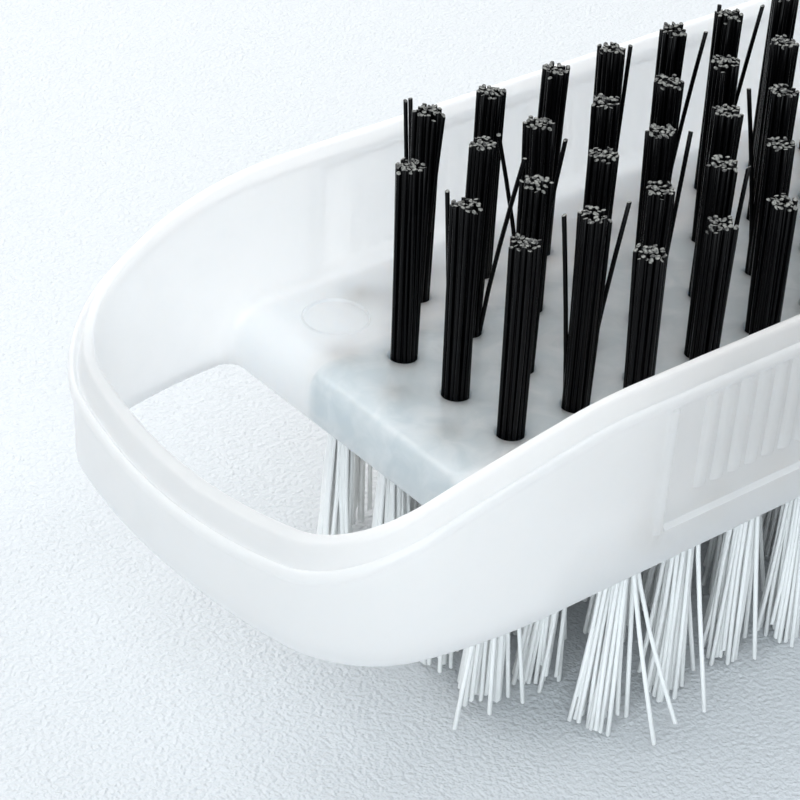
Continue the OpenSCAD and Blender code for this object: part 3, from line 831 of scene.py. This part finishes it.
def milky_nylon(c):
    """Undyed nylon filament, drawn smooth. It gives the eye milky white bristles with a soft
    shine along them."""
    return new_material("milky_nylon", {
        "Base Color": (*c.milky, 1), "Roughness": 0.35, "IOR": 1.53})[0]


def drawn_steel(c):
    """Flat drawn steel wire. It gives the eye a grey metal with a blurred shine."""
    return new_material("drawn_steel", {
        "Base Color": (*c.steel, 1), "Roughness": 0.34, "Metallic": 1.0})[0]


def grained_sheet(c, backdrop):
    """White coated sheet, embossed with a fine leather-like grain, for the floor. It gives the
    eye small crisp sparkles and a dull white. Far from the brush, where the lamps no longer
    reach, it is seen as pale as the backdrop."""
    material, tree, shader = new_material("grained_white_sheet", {
        "Base Color": (*c.floor, 1), "Roughness": 0.5, "IOR": 1.5})
    place = add_node(tree, "ShaderNodeTexCoord", {}).outputs["Object"]
    grain = add_node(tree, "ShaderNodeTexNoise", {
        "Vector": place, "Scale": 1 / (0.36 * MM), "Detail": 1.0, "Roughness": 0.5})
    bump = add_node(tree, "ShaderNodeBump", {
        "Height": grain.outputs["Fac"], "Strength": 1.0, "Distance": 0.2 * MM})
    tree.links.new(bump.outputs["Normal"], shader.inputs["Normal"])
    away = add_node(tree, "ShaderNodeVectorMath", {0: place}, operation="LENGTH")
    share = add_node(tree, "ShaderNodeMapRange", {
        "Value": away.outputs["Value"], "From Min": 160 * MM, "From Max": 450 * MM},
        interpolation_type="SMOOTHSTEP")
    pale = add_node(tree, "ShaderNodeEmission", {"Color": (*backdrop, 1)})
    seen = add_node(tree, "ShaderNodeMath", {
        0: share.outputs["Result"], 1: is_seen(tree)}, operation="MULTIPLY")
    both = add_node(tree, "ShaderNodeMixShader", {
        0: seen.outputs["Value"], 1: shader.outputs["BSDF"], 2: pale.outputs["Emission"]})
    tree.links.new(both.outputs["Shader"], tree.nodes["Material Output"].inputs["Surface"])
    return material


def show(name, mesh, materials, nodes):
    """Puts a mesh in the scene as a piece that stands for CAD nodes."""
    piece = bpy.data.objects.new(name, mesh)
    for material in materials:
        mesh.materials.append(material)
    bpy.context.scene.collection.objects.link(piece)
    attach(piece, "root")
    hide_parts(*nodes)


class NAILBRUSH_OT_frame(bpy.types.Operator):
    """Adds the moulded frame with its band wall, deck and tuft holes"""
    bl_idname = "nailbrush.frame"
    bl_label = "Moulded Frame"

    def execute(self, context):
        scene = context.scene
        mesh = frame_mesh(scene.nailbrush_frame, "moulded_frame")
        mesh.polygons.foreach_set("use_smooth", [True] * len(mesh.polygons))
        mesh.set_sharp_from_angle(angle=math.radians(SHARP_EDGE))
        show("moulded_frame", mesh, [frosted_polypropylene(scene.nailbrush_finishes)],
             ["brush_frame"])
        return {"FINISHED"}


def add_tufts(context, nodes, across, b, strays, level, tip, limit, finish):
    """Adds one piece for each row of tufts."""
    s = context.scene.nailbrush_frame
    rows = tuft_rows(len(nodes), across, row_step(), s.cross_step)
    rng = np.random.default_rng(b.seed)
    for k, (node, spots) in enumerate(zip(nodes, rows)):
        name = node.replace("tuft_row", "filaments")
        own = [stray[1:] for stray in strays if stray[0] == k]
        mesh = filament_mesh(name, spots, b, own, s.hole_d, level, tip,
                             s.hole_depth - FOOT_ROOM, limit, rng)
        show(name, mesh, finish, [node])


class NAILBRUSH_OT_upper(bpy.types.Operator):
    """Adds the rows of stiff upper tufts"""
    bl_idname = "nailbrush.upper"
    bl_label = "Upper Tufts"

    def execute(self, context):
        scene = context.scene
        s, b, c = scene.nailbrush_frame, scene.nailbrush_upper, scene.nailbrush_finishes
        finish = [black_nylon(c), cut_nylon("cut_black_nylon", c.cut_black, c.black)]
        add_tufts(context, UPPER_NODES, UPPER_ACROSS, b, UPPER_STRAYS, FRAME_LOW.z + s.deck,
                  CAD_BOX[1][2], s.half_width - s.wall - WALL_ROOM, finish)
        return {"FINISHED"}


class NAILBRUSH_OT_lower(bpy.types.Operator):
    """Adds the rows of soft lower tufts"""
    bl_idname = "nailbrush.lower"
    bl_label = "Lower Tufts"

    def execute(self, context):
        scene = context.scene
        b, c = scene.nailbrush_lower, scene.nailbrush_finishes
        finish = [milky_nylon(c), cut_nylon("cut_milky_nylon", c.cut_milky, c.milky)]
        add_tufts(context, LOWER_NODES, LOWER_ACROSS, b, LOWER_STRAYS, FRAME_LOW.z,
                  CAD_BOX[0][2], CAD_BOX[1][1] - b.thick, finish)
        return {"FINISHED"}


class NAILBRUSH_OT_wires(bpy.types.Operator):
    """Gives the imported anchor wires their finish"""
    bl_idname = "nailbrush.wires"
    bl_label = "Anchor Wires"

    def execute(self, context):
        material = drawn_steel(context.scene.nailbrush_finishes)
        for name in WIRE_NODES:
            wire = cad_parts[name]
            wire.data.materials.clear()
            wire.data.materials.append(material)
        return {"FINISHED"}


class StageSettings(bpy.types.PropertyGroup):
    """Camera and light of the studio"""
    eye: bpy.props.FloatVectorProperty(
        name="Camera", description="Place of the camera", subtype="XYZ_LENGTH",
        default=(-0.12263, -0.10831, 0.11564), precision=5)
    heading: angle("Heading", "The camera's turn from the Y axis towards X", 40.55)
    dip: angle("Dip", "How far the camera looks down", 33.55)
    roll: angle("Roll", "The camera's turn about its own line of sight", 3.44)
    lens: number("Lens", "Focal length in millimetres", 119.75, unit="CAMERA")
    floor_side: length("Floor", "Side of the floor", 1600)
    power: number("Power", "Power of all lights, as a share of what the list gives", 1)
    front: colour("Front light", "Colour of the lights in front of the brush", "#EEF9FF")
    back: colour("Back light", "Colour of the lights behind the brush", "#FFFEFC")
    sky: colour("Sky light", "Soft light from all sides", "#F7FBFF")
    sky_strength: number("Sky strength", "Strength of the soft light from all sides", 0.2)
    backdrop: colour("Backdrop", "What is seen behind the floor", "#F7FBFE")


# Square area lights turned to the brush: name, colour, watts, side and place in millimetres
LIGHTS = (
    ("low_front_left", "front", 0.36, 260, (-420, -330, 110)),
    ("front_left", "front", 1.12, 340, (-300, -250, 250)),
    ("front_right", "front", 0.12, 300, (300, -300, 300)),
    ("low_back", "back", 0.56, 400, (0, 450, 200)),
    ("back_left", "back", 0.86, 420, (-220, 320, 260)),
    ("back_right", "back", 0.90, 480, (300, 300, 260)),
    ("top", "sky", 1.05, 460, (0, 0, 450)),
    ("top_right", "sky", 0.27, 320, (220, -60, 400)),
)


class NAILBRUSH_OT_stage(bpy.types.Operator):
    """Adds the floor, the lights, the backdrop and the camera"""
    bl_idname = "nailbrush.stage"
    bl_label = "Stage"

    def execute(self, context):
        scene = context.scene
        s = scene.nailbrush_stage
        h, z = s.floor_side / 2, CAD_BOX[0][2]
        mesh = bpy.data.meshes.new("floor")
        mesh.from_pydata([(-h, -h, z), (h, -h, z), (h, h, z), (-h, h, z)], [], [(0, 1, 2, 3)])
        mesh.materials.append(grained_sheet(scene.nailbrush_finishes, s.backdrop))
        floor = bpy.data.objects.new("floor", mesh)

        lights = []
        for name, tint, watts, side, place in LIGHTS:
            lamp = bpy.data.lights.new(name, "AREA")
            lamp.shape, lamp.size = "SQUARE", side * MM
            lamp.energy, lamp.color = watts * s.power, getattr(s, tint)
            light = bpy.data.objects.new(name, lamp)
            light.location = np.array(place) * MM
            light.rotation_euler = (-light.location).to_track_quat("-Z", "Y").to_euler()
            lights.append(light)

        data = bpy.data.cameras.new("camera")
        data.lens, data.sensor_width, data.clip_start = s.lens, 36, 0.01
        camera = bpy.data.objects.new("camera", data)
        turn = (Matrix.Rotation(-s.heading, 3, "Z") @ Matrix.Rotation(math.pi / 2 - s.dip, 3, "X")
                @ Matrix.Rotation(s.roll, 3, "Z"))
        camera.location, camera.rotation_euler = s.eye, turn.to_euler()
        for item in (floor, camera, *lights):
            scene.collection.objects.link(item)
        scene.camera = camera

        # Past the floor the pale backdrop is seen, and the light on things is the sky's
        world = bpy.data.worlds.new("studio")
        world.use_nodes = True
        scene.world, tree = world, world.node_tree
        tree.nodes.clear()
        light = add_node(tree, "ShaderNodeBackground", {
            "Color": (*s.sky, 1), "Strength": s.sky_strength})
        pale = add_node(tree, "ShaderNodeBackground", {"Color": (*s.backdrop, 1)})
        both = add_node(tree, "ShaderNodeMixShader", {
            0: is_seen(tree), 1: light.outputs["Background"],
            2: pale.outputs["Background"]})
        add_node(tree, "ShaderNodeOutputWorld", {"Surface": both.outputs["Shader"]})
        scene.view_settings.view_transform = "Standard"
        return {"FINISHED"}


OPERATORS = (NAILBRUSH_OT_frame, NAILBRUSH_OT_upper, NAILBRUSH_OT_lower, NAILBRUSH_OT_wires,
             NAILBRUSH_OT_stage)


class NAILBRUSH_PT_panel(bpy.types.Panel):
    """Lists the steps that build the brush"""
    bl_label = "Nail Brush"
    bl_space_type = "VIEW_3D"
    bl_region_type = "UI"
    bl_category = "Nail Brush"

    def draw(self, context):
        for operator in OPERATORS:
            self.layout.operator(operator.bl_idname)


GROUPS = {"nailbrush_frame": FrameSizes, "nailbrush_upper": UpperBristles,
          "nailbrush_lower": LowerBristles, "nailbrush_finishes": Finishes,
          "nailbrush_stage": StageSettings}


def register():
    for cls in (*GROUPS.values(), *OPERATORS, NAILBRUSH_PT_panel):
        bpy.utils.register_class(cls)
    for name, cls in GROUPS.items():
        setattr(bpy.types.Scene, name, bpy.props.PointerProperty(type=cls))


def unregister():
    for name in GROUPS:
        delattr(bpy.types.Scene, name)
    for cls in (NAILBRUSH_PT_panel, *reversed(OPERATORS), *reversed(tuple(GROUPS.values()))):
        bpy.utils.unregister_class(cls)


def main():
    """Builds the brush and its stage."""
    register()
    bpy.ops.nailbrush.frame()
    bpy.ops.nailbrush.upper()
    bpy.ops.nailbrush.lower()
    bpy.ops.nailbrush.wires()
    bpy.ops.nailbrush.stage()


if __name__ == "__main__":
    main()
